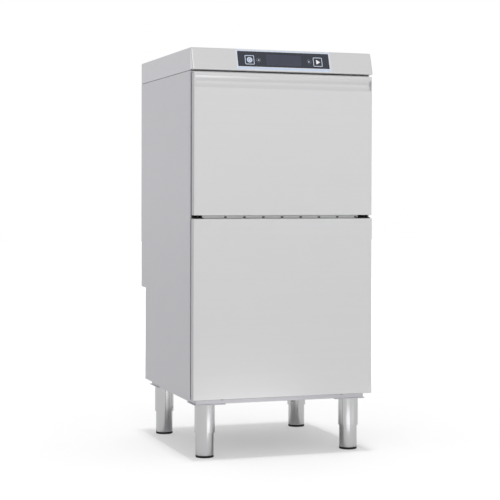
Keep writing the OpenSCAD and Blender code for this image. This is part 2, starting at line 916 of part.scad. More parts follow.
module wash_pump() {
  bore = 6;
  color(grey_plastic) translate([pump_x, 0, pump_z]) difference() {
    union() {
      rod_y(volute_r, volute_front, volute_back);
      rod_y(24, volute_front - 14, volute_front + 1);
      translate([45, -135, 0]) cylinder(r = 20, h = 84);
    }
    rod_y(58, volute_front + 6, volute_back - 6);
    rod_y(18, volute_front - 20, volute_front + 10);
    translate([45, -135, 0]) cylinder(r = 15, h = 90);
    rod_y(bore + running_fit, -130, -60);
  }
  color(galvanised) translate([pump_x, 0, pump_z]) difference() {
    union() {
      rod_y(motor_r, volute_back, 80);
      block([-45, -90, floor_top - pump_z], [45, -70, -40]);
      block([-45, 40, floor_top - pump_z], [45, 60, -40]);
      for (a = [0 : 20 : 340]) rotate([0, a, 0]) block([-1.5, -95, motor_r - 2], [1.5, 70, motor_r + 4]);
    }
    rod_y(bore + running_fit, volute_back - 1, 70);
  }
}

module pump_rotor() {
  vane_h = 18;
  color(bright_steel) translate([pump_x, 0, pump_z]) {
    rod_y(6, -140, 60);
    rod_y(50, -132, -128);
    for (a = [0 : 60 : 300]) rotate([0, a, 0])
      block([8, -128 - vane_h, -1.5], [48, -130, 1.5]);
    rod_y(12, -148, -128);
  }
}

// From the pump up to the lower spindle, then up the back and over to the upper spindle.
// The bore runs past both ends by the extra length.
module wash_path(r, extra) {
  outlet_x = pump_x + 45;
  tee_z = 600;
  over_z = 1206;
  pipe_path([
    [outlet_x, -135, pump_z + 84 - extra],
    [outlet_x, -135, tee_z],
    [outlet_x, chamber_y, tee_z],
    [0, chamber_y, tee_z],
    [0, chamber_y, tank_z - 8 + extra]
  ], r);
  pipe_path([
    [0, chamber_y, tee_z],
    [0, riser_y, tee_z],
    [0, riser_y, over_z],
    [0, chamber_y, over_z],
    [0, chamber_y, chamber_top + 12 - extra]
  ], r);
}

module suction_path(r, extra) {
  pipe_path([
    [pump_x, suction_y, tank_z + extra],
    [pump_x, suction_y, pump_z],
    [pump_x, volute_front - 14 + extra, pump_z]
  ], r);
}

module water_pipes() {
  color(grey_plastic) {
    difference() {
      wash_path(15, 0);
      wash_path(12, 1);
    }
    difference() {
      suction_path(17, 0);
      suction_path(14, 1);
    }
  }
}

module rinse_boiler() {
  wall = 2;
  color(bright_steel) translate([boiler_x, boiler_y, 0]) difference() {
    union() {
      translate([0, 0, boiler_z]) cylinder(r = boiler_r, h = boiler_h);
      for (a = [45 : 90 : 315]) rotate(a)
        translate([60, 0, floor_top]) cylinder(r = 6, h = boiler_z - floor_top + 1);
      translate([0, 0, boiler_z + boiler_h]) cylinder(r = 8, h = 20);
    }
    translate([0, 0, boiler_z + wall]) cylinder(r = boiler_r - wall, h = boiler_h - 2 * wall);
    translate([0, 0, boiler_z + boiler_h - 5]) cylinder(r = 5, h = 30);
  }
}

module heating_elements() {
  color(galvanised) {
    translate([boiler_x, boiler_y, boiler_z + 2]) {
      cylinder(r = 26, h = 6);
      for (x = [-12, 12]) translate([x, 0, 5]) cylinder(r = 4, h = 200);
      translate([0, 0, 205]) rod_x(4, -12, 12);
      for (x = [-12, 12]) translate([x, 0, 205]) sphere(r = 4);
    }
    for (x = [100, 140]) translate([x, 0, 668]) {
      rod_y(4, -120, tank_rear + 12);
      translate([0, -120, 0]) sphere(r = 4);
    }
    translate([0, -120, 668]) rod_x(4, 100, 140);
    block([86, tank_rear + 0.2, 654], [154, tank_rear + 4, 682]);
  }
}

module dosing_pump() {
  color(grey_plastic) translate([doser_x, 0, doser_z]) difference() {
    union() {
      rod_y(34, -262, -232);
      block([-36, -232, -36], [36, -206, 36]);
      block([-post_x - doser_x, -262, -20], [-30, -259, 20]);
    }
    rod_y(28, -263, -238);
    rod_y(4 + running_fit, -240, -210);
  }
}

module dosing_rotor() {
  color(white_plastic) translate([doser_x, 0, doser_z]) {
    rod_y(4, -258, -212);
    rod_y(12, -258, -240);
    for (a = [0, 120, 240]) rotate([0, a, 0]) {
      translate([0, 0, 18]) rod_y(6, -256, -242);
      block([-3, -246, 6], [3, -243, 18]);
    }
  }
}

module electrical_box() {
  x0 = 70;
  x1 = 250;
  color(grey_plastic) difference() {
    union() {
      block([x0, -262, 340], [x1, -196, 600]);
      block([x0, -262, 400], [post_x, -259, 540]);
    }
    block([x0 + 3, -259, 343], [x1 - 3, -199, 597]);
  }
  color(white_plastic) for (i = [0 : 2])
    block([x0 + 14 + i * 52, -240, 400], [x0 + 58 + i * 52, -199, 480]);
}

module inlet_valve() {
  color(white_plastic) difference() {
    union() {
      block([inlet_x - 22, 206, inlet_z - 22], [inlet_x + 22, lower_rear_face - sheet, inlet_z + 22]);
      translate([inlet_x, 0, inlet_z]) rod_y(inlet_thread_r, 240, lower_rear + 18);
      translate([inlet_x, 222, inlet_z]) cylinder(r = 14, h = 52);
    }
    translate([inlet_x, 0, inlet_z]) rod_y(9, 225, lower_rear + 20);
  }
}

module drain_path(r, extra) {
  pipe_path([
    [drain_x, drain_y, tank_z + extra],
    [drain_x, drain_y, drain_z],
    [drain_x, lower_rear + 2 + extra, drain_z]
  ], r);
}

// A drain pipe from the tank, with a narrower tail outside for the hose
module drain_outlet() {
  tail_end = lower_rear + 2 + drain_tail;
  color(grey_plastic) difference() {
    union() {
      drain_path(drain_r, 0);
      translate([drain_x, 0, drain_z]) rod_y(drain_tail_r, lower_rear, tail_end);
    }
    drain_path(drain_tail_r - 3, 1);
    translate([drain_x, 0, drain_z]) rod_y(drain_tail_r - 3, lower_rear, tail_end + 1);
  }
}

module cable_gland() {
  color(grey_plastic) translate([gland_x, 0, gland_z]) difference() {
    union() {
      rod_y(gland_thread_r, lower_rear_face - 14, lower_rear_face + 8);
      rotate([-90, 0, 0]) translate([0, 0, lower_rear_face]) cylinder(r = 18, h = 8, $fn = 6);
      rotate([-90, 0, 0]) translate([0, 0, lower_rear_face - sheet - 6]) cylinder(r = 17, h = 6, $fn = 6);
      rod_y(15, lower_rear_face + 8, lower_rear_face + 22);
    }
    rod_y(gland_bore_r, lower_rear_face - 20, lower_rear_face + 30);
  }
}

// ---------------------------------------------------------------- nodes

top_cover();
control_fascia();
control_bezel();
control_window();
display_screen();
power_key();
menu_key();
select_key();
start_key();
control_board();
left_side_panel();
right_side_panel();
rear_panel_upper();
rear_panel_lower();
lower_front_panel();
cabinet_screws();
front_frame();
drip_gutter();
door_outer_skin();
door_inner_skin();
door_hinge_arms();
door_knuckles();
door_seal();
hinge_brackets();
hinge_pins();
hinge_covers();
door_springs();
spring_anchors();
door_magnet();
door_switch();
base_frame();
chassis_posts();
leg_sleeves();
front_left_foot();
front_right_foot();
rear_left_foot();
rear_right_foot();
wash_chamber();
wash_tank();
tank_filter();
overflow_pipe();
lower_wash_arm();
lower_rinse_arm();
upper_wash_arm();
upper_rinse_arm();
arm_spindles();
arm_nuts();
rack_guides();
wash_pump();
pump_rotor();
water_pipes();
rinse_boiler();
heating_elements();
dosing_pump();
dosing_rotor();
electrical_box();
inlet_valve();
drain_outlet();
cable_gland();
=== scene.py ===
"""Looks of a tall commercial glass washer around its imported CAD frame.
Metres, +Z up, the front faces -Y, and the origin is on the floor under the cabinet."""

import json
from math import atan, atan2, cos, hypot, pi, radians, sin

import bmesh
import bpy
from mathutils import Matrix, Vector


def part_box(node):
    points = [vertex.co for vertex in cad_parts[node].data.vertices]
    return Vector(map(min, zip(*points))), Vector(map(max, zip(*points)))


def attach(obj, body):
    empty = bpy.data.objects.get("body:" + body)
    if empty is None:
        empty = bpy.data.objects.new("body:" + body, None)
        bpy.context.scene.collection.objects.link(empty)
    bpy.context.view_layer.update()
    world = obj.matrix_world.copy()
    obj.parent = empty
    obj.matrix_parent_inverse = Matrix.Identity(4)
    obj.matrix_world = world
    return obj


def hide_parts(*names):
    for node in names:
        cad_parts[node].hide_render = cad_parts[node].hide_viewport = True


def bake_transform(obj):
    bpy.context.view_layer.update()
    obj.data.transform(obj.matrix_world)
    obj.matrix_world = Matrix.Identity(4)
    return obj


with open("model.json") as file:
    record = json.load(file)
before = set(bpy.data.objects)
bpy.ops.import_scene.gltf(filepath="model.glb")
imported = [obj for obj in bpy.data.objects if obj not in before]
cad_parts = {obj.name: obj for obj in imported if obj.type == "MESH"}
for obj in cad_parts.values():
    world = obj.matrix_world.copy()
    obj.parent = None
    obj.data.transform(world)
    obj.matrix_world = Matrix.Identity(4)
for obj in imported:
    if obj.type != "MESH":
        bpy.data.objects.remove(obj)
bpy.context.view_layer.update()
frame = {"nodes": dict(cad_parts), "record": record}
nodes = frame["nodes"]
mounts = {mount["name"]: mount for mount in frame["record"]["mounts"]}

MM = 0.001
SHEET = 1.2 * MM  # thickness of the stainless sheet
FOLD = 2.2 * MM  # outer radius of a folded edge

LEGS = {}  # the middle of each foot in X and Y
for foot in ("front_left", "front_right", "rear_left", "rear_right"):
    foot_low, foot_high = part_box(foot + "_foot")
    LEGS[foot] = ((foot_low.x + foot_high.x) / 2, (foot_low.y + foot_high.y) / 2)


# ---------------------------------------------------------------- finishes

class Finish:
    """A material made of nodes around one Principled shader, for one of the record's slots."""

    def __init__(self, slot, color, roughness, metallic=0.0, name=None, **sockets):
        self.slot = slot
        self.color = color
        self.material = bpy.data.materials.new(name or slot)
        self.material.use_nodes = True
        self.tree = self.material.node_tree
        self.shader = self.tree.nodes["Principled BSDF"]
        uniform = {"Base Color": (*color, 1), "Roughness": roughness, "Metallic": metallic}
        self.wire(self.shader, {**uniform, **sockets})
        self.place = self.add("ShaderNodeTexCoord").outputs["Object"]

    def wire(self, node, inputs):
        for key, value in inputs.items():
            if isinstance(value, bpy.types.NodeSocket):
                self.tree.links.new(value, node.inputs[key])
            else:
                node.inputs[key].default_value = value

    def add(self, kind, inputs=None, **settings):
        node = self.tree.nodes.new(kind)
        for key, value in settings.items():
            setattr(node, key, value)
        self.wire(node, inputs or {})
        return node

    def noise(self, cell, detail=3.0):
        """Noise with cells of the given size in metres along X, Y and Z."""
        stretch = tuple(1 / size for size in cell)
        mapping = self.add("ShaderNodeMapping", {"Vector": self.place, "Scale": stretch})
        inputs = {"Vector": mapping.outputs["Vector"], "Scale": 1.0, "Detail": detail}
        return self.add("ShaderNodeTexNoise", inputs).outputs["Fac"]

    def spread(self, value, low, high):
        """A noise value, mostly 0.3 to 0.7, spread from low to high."""
        inputs = {"Value": value, "From Min": 0.3, "From Max": 0.7, "To Min": low, "To Max": high}
        return self.add("ShaderNodeMapRange", inputs).outputs["Result"]

    def tint(self, value, amount, tone=(1, 1, 1)):
        """Varies the base colour by amount, towards tone where the noise is high."""
        dark = tuple(c * (1 - amount) for c in self.color)
        light = tuple(min(1, c * (1 + amount) * t) for c, t in zip(self.color, tone))
        mix = self.add("ShaderNodeMix", data_type="RGBA")
        self.wire(mix, {0: self.spread(value, 0, 1), 6: (*dark, 1), 7: (*light, 1)})
        self.wire(self.shader, {"Base Color": mix.outputs[2]})

    def gloss(self, value, low, high):
        self.wire(self.shader, {"Roughness": self.spread(value, low, high)})

    def bump(self, value, depth):
        node = self.add("ShaderNodeBump", {"Height": value, "Distance": depth, "Strength": 1.0})
        self.wire(self.shader, {"Normal": node.outputs["Normal"]})


def brushed(slot, color, rough, along, name=None, depth=0.000004, streak=0.004):
    """Satin steel with fine grain and wide, faint streaks along the axis X, Y or Z."""
    finish = Finish(slot, color, rough, 1.0, name)
    axis = "XYZ".index(along)
    fine_cell, wide_cell = [0.00035] * 3, [0.009] * 3
    fine_cell[axis], wide_cell[axis] = 0.09, 0.6
    fine = finish.noise(fine_cell, 2.0)
    wide = finish.noise(wide_cell, 2.0)
    finish.tint(wide, streak)
    finish.gloss(fine, rough - 0.025, rough + 0.03)
    finish.bump(fine, depth)
    return finish


def moulded(slot, color, rough, cell=0.0006, depth=0.00004, tint=0.04, name=None, **sockets):
    """Moulded plastic or rubber with a fine texture."""
    finish = Finish(slot, color, rough, 0.0, name, **sockets)
    fine = finish.noise((cell, cell, cell), 3.0)
    cloud = finish.noise((0.03, 0.03, 0.03), 2.0)
    finish.tint(cloud, tint)
    finish.gloss(fine, rough - 0.04, rough + 0.05)
    finish.bump(fine, depth)
    return finish


def galvanised(slot, color, rough):
    """Zinc-coated steel with a faint spangle."""
    finish = Finish(slot, color, rough, 1.0)
    cells = finish.add("ShaderNodeTexVoronoi", {"Vector": finish.place, "Scale": 90.0})
    spangle = finish.add("ShaderNodeRGBToBW", {"Color": cells.outputs["Color"]}).outputs["Val"]
    finish.tint(spangle, 0.10)
    finish.gloss(spangle, rough - 0.06, rough + 0.08)
    finish.bump(finish.noise((0.0012, 0.0012, 0.0012)), 0.00002)
    return finish


front_steel = brushed("front_steel", (0.80, 0.80, 0.81), 0.30, "X")
# A darker copy of the front steel for the top cover: painted shade for its sides, which face away from
# the light.
shaded_cover_steel = brushed("front_steel", (0.66, 0.66, 0.69), 0.34, "Y", name="shaded_cover_steel")
# A darker copy of the front steel for the folded returns that face left or right: painted shade.
shaded_return_steel = brushed("front_steel", (0.60, 0.595, 0.61), 0.36, "Z", name="shaded_return_steel")
# Darker than the front steel: partly the side panels' own slightly darker tone, and partly painted shade
# for panels that face sideways or to the rear.
side_steel = brushed("side_steel", (0.62, 0.612, 0.642), 0.36, "Z")
inner_steel = brushed("inner_steel", (0.56, 0.565, 0.57), 0.28, "X", streak=0.02)
turned_steel = brushed("leg_steel", (0.69, 0.69, 0.70), 0.17, "Z", depth=0.000003, streak=0.01)
zinc_steel = galvanised("zinc_steel", (0.46, 0.47, 0.48), 0.45)
pump_metal = moulded("pump_metal", (0.21, 0.23, 0.26), 0.5, 0.001, 0.0001, 0.08)
bezel_plastic = moulded("bezel_plastic", (0.60, 0.69, 0.86), 0.32, 0.0004, 0.00001, 0.01)
# White for the play icon's print, and as a painted highlight along the bezel's raised rim and lip.
white_print_and_rim_highlight = moulded("bezel_plastic", (0.93, 0.94, 0.96), 0.3, name="bezel_rim")
icon_plastic = moulded("key_plastic", (0.66, 0.74, 0.90), 0.4, name="key_icons")
ring_plastic = moulded("key_plastic", (0.27, 0.295, 0.37), 0.4, name="key_rings")
window_plastic = moulded("window_plastic", (0.031, 0.035, 0.052), 0.22, 0.0004, 0.000004, 0.02)
screen_plastic = moulded("screen_plastic", (0.048, 0.054, 0.083), 0.26, 0.0004, 0.000004, 0.03)
key_plastic = moulded("key_plastic", (0.030, 0.032, 0.044), 0.28, 0.0004, 0.000006, 0.02)
black_plastic = moulded("black_plastic", (0.018, 0.018, 0.020), 0.5)
grey_plastic = moulded("grey_plastic", (0.15, 0.16, 0.175), 0.48)
white_plastic = moulded("white_plastic", (0.72, 0.72, 0.70), 0.45)
board_green = moulded("board_green", (0.02, 0.10, 0.045), 0.42, 0.002, 0.00003, 0.15)
black_rubber = moulded("black_rubber", (0.016, 0.016, 0.017), 0.68, 0.0009, 0.00008, 0.10)
FINISHES = {
    finish.slot: finish
    for finish in (front_steel, side_steel, inner_steel, turned_steel, zinc_steel, pump_metal,
                   bezel_plastic, window_plastic, screen_plastic, key_plastic, black_plastic,
                   grey_plastic, white_plastic, board_green, black_rubber)
}

# Every CAD node gets the finish of its own slot.
SLOTS = {part["node"]: part["material_slot"] for part in frame["record"]["subparts"]}
for name, node in nodes.items():
    for material_slot in node.material_slots:
        material_slot.material = FINISHES[SLOTS[name]].material


# ---------------------------------------------------------------- mesh helpers

def apply_modifiers(piece):
    """Replaces a piece's mesh with the one its modifiers make."""
    depsgraph = bpy.context.evaluated_depsgraph_get()
    mesh = bpy.data.meshes.new_from_object(piece.evaluated_get(depsgraph))
    piece.modifiers.clear()
    piece.data = mesh
    return mesh


def make(name, bm, body, finish, *replaced,
         sheet=0.0, edge=0.0, segments=2, sharp=38, sides=None):
    """A piece from a bmesh, which is used up. It can get a sheet's thickness inward, rounded edges and
    a darker second finish, which is painted shade, on the faces that face left or right."""
    mesh = bpy.data.meshes.new(name)
    bm.to_mesh(mesh)
    bm.free()
    piece = bpy.data.objects.new(name, mesh)
    bpy.context.collection.objects.link(piece)
    if sheet:
        solid = piece.modifiers.new("sheet", "SOLIDIFY")
        solid.thickness, solid.offset, solid.use_even_offset = sheet, -1, True
    if edge:
        bevel = piece.modifiers.new("edge", "BEVEL")
        bevel.width, bevel.segments, bevel.limit_method = edge, segments, "ANGLE"
        bevel.angle_limit = radians(32)
    mesh = apply_modifiers(piece)
    mesh.polygons.foreach_set("use_smooth", [True] * len(mesh.polygons))
    mesh.set_sharp_from_angle(angle=radians(sharp))
    weighted = piece.modifiers.new("normals", "WEIGHTED_NORMAL")
    weighted.keep_sharp = True
    mesh = apply_modifiers(piece)
    mesh.name = name
    mesh.materials.clear()
    mesh.materials.append(finish.material)
    # Faces that face left or right get the darker second finish, as painted shade.
    if sides:
        mesh.materials.append(sides.material)
        for polygon in mesh.polygons:
            polygon.material_index = int(abs(polygon.normal.x) > 0.7)
    if body:
        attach(piece, body)
    if replaced:
        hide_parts(*replaced)
    return piece


def round_edges(bm, edges, radius):
    """Rounds the given edges of a bmesh with four facets each."""
    bmesh.ops.bevel(bm, geom=list(edges), offset=radius, offset_type="OFFSET", segments=4,
                    profile=0.5, affect="EDGES", clamp_overlap=True)


def box(low, high):
    """A closed box as a bmesh."""
    bm = bmesh.new()
    size = Vector(high) - Vector(low)
    middle = (Vector(high) + Vector(low)) / 2
    bmesh.ops.create_cube(bm, size=1.0, matrix=Matrix.Translation(middle) @ Matrix.Diagonal((*size, 1)))
    return bm


def facing(bm, direction):
    """The faces of a bmesh that face a direction."""
    return [f for f in bm.faces if f.normal.dot(Vector(direction)) > 0.999]


def folded(low, high, open_sides, radius=FOLD):
    """A sheet box with the sides that face the given directions left open and its folds rounded."""
    bm = box(low, high)
    bm.normal_update()
    gone = [f for side in open_sides for f in facing(bm, side)]
    bmesh.ops.delete(bm, geom=gone, context="FACES")
    round_edges(bm, [e for e in bm.edges if not e.is_boundary], radius)
    return bm


def prism(outline, place, depth):
    """An outline in local X and Y, as a bmesh that is depth deep along local Z."""
    bm = bmesh.new()
    face = bm.faces.new([bm.verts.new((x, y, 0)) for x, y in outline])
    if face.normal.z > 0:
        face.normal_flip()
    made = bmesh.ops.extrude_face_region(bm, geom=[face])["geom"]
    top = [v for v in made if isinstance(v, bmesh.types.BMVert)]
    bmesh.ops.translate(bm, verts=top, vec=(0, 0, depth))
    bmesh.ops.recalc_face_normals(bm, faces=bm.faces)
    bmesh.ops.transform(bm, matrix=place, verts=bm.verts)
    return bm


def lathe(profile, place, steps):
    """A closed profile of (radius, height) points, turned about the local Z axis in so many steps."""
    bm = bmesh.new()
    points = [bm.verts.new((radius, 0, height)) for radius, height in profile]
    edges = [bm.edges.new(pair) for pair in zip(points, points[1:] + points[:1])]
    bmesh.ops.spin(bm, geom=points + edges, cent=(0, 0, 0), axis=(0, 0, 1), angle=2 * pi,
                   steps=steps, use_merge=True)
    bmesh.ops.remove_doubles(bm, verts=bm.verts, dist=1e-6)
    bmesh.ops.recalc_face_normals(bm, faces=bm.faces)
    bmesh.ops.transform(bm, matrix=place, verts=bm.verts)
    return bm


def arc(cx, cy, radius, start, end, steps=6):
    """Points of an arc, with angles in degrees."""
    angles = [radians(start + (end - start) * i / steps) for i in range(steps + 1)]
    return [(cx + radius * cos(a), cy + radius * sin(a)) for a in angles]


def disc(radius, cx=0.0, cy=0.0, steps=40):
    """The outline of a circle, or of a polygon with that many corners."""
    return arc(cx, cy, radius, 0, 360, steps)[:-1]


def round_rect(width, height, radius, cx=0.0, cy=0.0):
    """The outline of a rectangle with rounded corners, around its middle."""
    right, top = cx + width / 2 - radius, cy + height / 2 - radius
    left, bottom = cx - width / 2 + radius, cy - height / 2 + radius
    corners = [(right, top, 0), (left, top, 90), (left, bottom, 180), (right, bottom, 270)]
    return [p for x, y, start in corners for p in arc(x, y, radius, start, start + 90)]


def plate(loops, low, high, place, edge=0.0):
    """A flat piece from local Z low to high, with an outline and holes, as a bmesh with rounded edges."""
    curve = bpy.data.curves.new("outline", "CURVE")
    curve.dimensions, curve.fill_mode = "2D", "BOTH"
    curve.extrude = (high - low) / 2 - edge
    curve.bevel_depth, curve.bevel_resolution, curve.offset = edge, 2, -edge
    for loop in loops:
        spline = curve.splines.new("POLY")
        spline.points.add(len(loop) - 1)
        for point, (x, y) in zip(spline.points, loop):
            point.co = (x, y, 0, 1)
        spline.use_cyclic_u = True
    holder = bpy.data.objects.new("outline", curve)
    mesh = bpy.data.meshes.new_from_object(holder)
    bm = bmesh.new()
    bm.from_mesh(mesh)
    bpy.data.objects.remove(holder)
    bpy.data.curves.remove(curve)
    bpy.data.meshes.remove(mesh)
    bmesh.ops.remove_doubles(bm, verts=bm.verts, dist=1e-6)
    bmesh.ops.recalc_face_normals(bm, faces=bm.faces)
    lift = Matrix.Translation((0, 0, (high + low) / 2))
    bmesh.ops.transform(bm, matrix=place @ lift, verts=bm.verts)
    return bm


def join(*parts):
    """One bmesh that holds all of the given ones."""
    whole = bmesh.new()
    for part in parts:
        mesh = bpy.data.meshes.new("part")
        part.to_mesh(mesh)
        part.free()
        whole.from_mesh(mesh)
        bpy.data.meshes.remove(mesh)
    return whole


def cad_copy(node, body, edge, reshape=None):
    """The CAD node's own shape, reshaped vertex by vertex if need be, with its sharp edges rounded."""
    bm = bmesh.new()
    bm.from_mesh(nodes[node].data)
    bmesh.ops.remove_doubles(bm, verts=bm.verts, dist=2e-6)
    bmesh.ops.dissolve_limit(bm, angle_limit=radians(0.4), verts=bm.verts, edges=bm.edges)
    if reshape:
        for vertex in bm.verts:
            reshape(vertex)
    make(node + "_edged", bm, body, FINISHES[SLOTS[node]], node, edge=edge)


# ---------------------------------------------------------------- cover and controls

cover_low, cover_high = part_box("top_cover")
fascia_low, fascia_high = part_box("control_fascia")
fascia_setback = 22 * MM
fascia_h = fascia_high.z - fascia_low.z
slope = atan(fascia_setback / fascia_h)
on_fascia = (
    Matrix.Translation((0, fascia_low.y + fascia_setback / 2, (fascia_low.z + fascia_high.z) / 2))
    @ Matrix.Rotation(pi / 2 - slope, 4, "X")
)


def on_slope(node):
    """A node's extent along X, up the fascia's slope and outward: size, middle, lowest and highest."""
    back = on_fascia.inverted()
    points = [back @ vertex.co for vertex in nodes[node].data.vertices]
    low, high = (Vector([pick(p[i] for p in points) for i in range(3)]) for pick in (min, max))
    return high - low, (high + low) / 2, low, high


def top_cover():
    """A lid folded from one sheet, open below and at its front, where the fascia fits."""
    bm = folded(cover_low, cover_high, [(0, 0, -1), (0, -1, 0)], 3.2 * MM)
    # The cover gets the darker copy of the steel, as painted shade.
    make("top_cover_sheet", bm, "cabinet", shaded_cover_steel, "top_cover", sheet=SHEET)


def control_fascia():
    """A sloped sheet with a cut-out behind the controls, closed at its ends, top and bottom."""
    half, length = fascia_high.x, hypot(fascia_setback, fascia_h)
    size, middle, _, _ = on_slope("control_window")
    lap = 3 * MM
    rows = [-length / 2, middle.y - size.y / 2 + lap, middle.y + size.y / 2 - lap, length / 2]
    columns = [-half, -size.x / 2 + lap, size.x / 2 - lap, half]
    bm = bmesh.new()
    grid = [[bm.verts.new(on_fascia @ Vector((x, s, 0))) for x in columns] for s in rows]
    for i in range(3):
        for j in range(3):
            if (i, j) != (1, 1):
                bm.faces.new((grid[i][j], grid[i][j + 1], grid[i + 1][j + 1], grid[i + 1][j]))
    back_y = cover_low.y - 0.4 * MM
    back = {(i, j): bm.verts.new((x, back_y, grid[i][j].co.z))
            for i in (0, 3) for j, x in enumerate(columns)}
    for j in range(3):
        bm.faces.new((back[0, j], back[0, j + 1], grid[0][j + 1], grid[0][j]))
        bm.faces.new((grid[3][j], grid[3][j + 1], back[3, j + 1], back[3, j]))
    for j in (0, 3):
        bm.faces.new([grid[i][j] for i in range(4)] + [back[3, j], back[0, j]])
    bmesh.ops.recalc_face_normals(bm, faces=bm.faces)
    folds = [e for e in bm.edges if not e.is_boundary and e.calc_face_angle(0) > radians(30)]
    round_edges(bm, folds, 4.5 * MM)
    make("fascia_sheet", bm, "cabinet", front_steel, "control_fascia", sheet=SHEET)


def frame_plate(name, outer, inner, radii, top, finish):
    """A part of the bezel between two rounded rectangles, given as (width, height, X, Y)."""
    loops = [round_rect(w, h, r, x, y) for (w, h, x, y), r in zip((outer, inner), radii)]
    bm = plate(loops, 0, top, on_fascia, 0.25 * MM)
    make(name, bm, "cabinet", finish, "control_bezel", segments=1)


def control_bezel():
    """The silver-blue frame of the panel, with a white line round its outside and round the window that
    is a painted highlight on its raised edges.
    """
    size, middle, _, high = on_slope("control_bezel")
    window, centre, _, _ = on_slope("control_window")
    line = 1.1 * MM
    rim = (size.x, size.y, middle.x, middle.y)
    face = (size.x - 2 * line, size.y - 2 * line, middle.x, middle.y)
    lip = (window.x + 2.2 * line, window.y + 2.2 * line, centre.x, centre.y)
    hole = (window.x, window.y, centre.x, centre.y)
    # The rim and the lip are white as a painted highlight on the bezel's edges.
    frame_plate("bezel_rim", rim, face, (3 * MM, 2.2 * MM), high.z, white_print_and_rim_highlight)
    frame_plate("bezel_face", face, lip, (2.2 * MM, 3 * MM), high.z - 0.1 * MM, bezel_plastic)
    frame_plate("bezel_lip", lip, hole, (3 * MM, 2.4 * MM), high.z, white_print_and_rim_highlight)


# The outline of each key
KEYS = {"power_key": "square", "menu_key": "round", "select_key": "round", "start_key": "square"}


def key_outline(node, gap=0.0):
    """A key's outline on the fascia, grown all round by the gap."""
    size, middle, _, _ = on_slope(node)
    width = size.x + 2 * gap
    if KEYS[node] == "round":
        return disc(width / 2, middle.x, middle.y)
    return round_rect(width, width, 3.7 * MM + gap, middle.x, middle.y)


def control_window():
    """The dark pane with openings for the keys and the display."""
    size, middle, _, high = on_slope("control_window")
    screen, centre, _, _ = on_slope("display_screen")
    loops = [round_rect(size.x, size.y, 2.2 * MM, middle.x, middle.y)]
    loops += [key_outline(node, 0.3 * MM) for node in KEYS]
    loops.append(round_rect(screen.x + 0.2 * MM, screen.y + 0.2 * MM, 1.5 * MM, centre.x, centre.y))
    bm = plate(loops, 0, high.z - 0.15 * MM, on_fascia, 0.1 * MM)
    make("window_pane", bm, "cabinet", window_plastic, "control_window", segments=1)


def display_screen():
    """The display's own pane, with a thin frame and a slightly sunk screen."""
    size, middle, low, high = on_slope("display_screen")
    edge, sunk = 1.2 * MM, 0.5 * MM
    outside = round_rect(size.x, size.y, 1.4 * MM, middle.x, middle.y)
    inside = round_rect(size.x - 2 * edge, size.y - 2 * edge, 1 * MM, middle.x, middle.y)
    pane = plate([outside], low.z, high.z - sunk, on_fascia)
    make("display_pane", pane, "cabinet", screen_plastic, "display_screen")
    bm = plate([outside, inside], high.z - sunk, high.z - 0.15 * MM, on_fascia, 0.1 * MM)
    make("display_frame", bm, "cabinet", window_plastic, "display_screen", segments=1)


def power_icon(x, y):
    """A pale disc with a broken ring and a bar cut through it."""
    ring = arc(x, y, 5.2 * MM, 120, 420, 24) + arc(x, y, 3.9 * MM, 420, 120, 24)
    bar = [(x - 0.7 * MM, y + 1.2 * MM), (x + 0.7 * MM, y + 1.2 * MM),
           (x + 0.7 * MM, y + 6.6 * MM), (x - 0.7 * MM, y + 6.6 * MM)]
    return [disc(9 * MM, x, y), ring, bar]


def play_icon(x, y):
    """A large triangle that points right."""
    return [[(x - 5 * MM, y - 8 * MM), (x + 8.5 * MM, y), (x - 5 * MM, y + 8 * MM)]]


def arrow_icon(x, y, way):
    """A small triangle that points left where way is -1 and right where it is 1."""
    tail, tip, rise = x - 2.6 * MM * way, x + 2.8 * MM * way, 2.8 * MM
    return [[(tail, y - rise), (tip, y), (tail, y + rise)]]


def key(node, icon, *icon_options):
    """A key cap with a pale outline and an icon that stand a hair proud of it."""
    size, middle, low, high = on_slope(node)
    body = node + "_body"
    face = high.z - 0.1 * MM
    cap = plate([key_outline(node)], low.z, face, on_fascia, 0.5 * MM)
    make(node + "_cap", cap, body, key_plastic, node, segments=1)
    square = KEYS[node] == "square"
    line = 2.0 * MM if square else 0.7 * MM
    inset = 0.7 * MM
    ring = [key_outline(node, -inset), key_outline(node, -inset - line)]
    marks = (face, high.z + 0.03 * MM)
    make(node + "_ring", plate(ring, *marks, on_fascia), body, icon_plastic if square else ring_plastic)
    mark = plate(icon(middle.x, middle.y, *icon_options), *marks, on_fascia)
    make(node + "_icon", mark, body, white_print_and_rim_highlight if icon is play_icon else icon_plastic)


top_cover()
control_fascia()
control_bezel()
control_window()
display_screen()
key("power_key", power_icon)
key("menu_key", arrow_icon, -1)
key("select_key", arrow_icon, 1)
key("start_key", play_icon)


# ---------------------------------------------------------------- panels

def lower_front_panel():
    """A folded front with deep returns at its sides and bottom and a short lip at its top."""
    low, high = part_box("lower_front_panel")
    deep, lip = low.y + 24 * MM, low.y + 7 * MM
    bm = folded(low, (high.x, deep, high.z), [(0, 1, 0)], 2.5 * MM)
    cut = {"plane_co": (0, lip, 0), "plane_no": (0, 1, 0)}
    bmesh.ops.bisect_plane(bm, geom=bm.verts[:] + bm.edges[:] + bm.faces[:], **cut)
    spare = [f for f in bm.faces if f.calc_center_median().y > lip and f.normal.z > 0.99]
    bmesh.ops.delete(bm, geom=spare, context="FACES")
    # The panel's side returns get the darker steel, as painted shade.
    make("lower_front_sheet", bm, "cabinet", front_steel, "lower_front_panel", sheet=SHEET,
         sides=shaded_return_steel)
    tab_x, half_tab, inset = 230 * MM, 10 * MM, 20 * MM
    tabs = [box((x - half_tab, low.y + SHEET, z), (x + half_tab, high.y, z + 2 * MM))
            for x in (-tab_x, tab_x) for z in (low.z + inset, high.z - inset)]
    make("lower_front_tabs", join(*tabs), "cabinet", inner_steel, "lower_front_panel", edge=0.4 * MM)


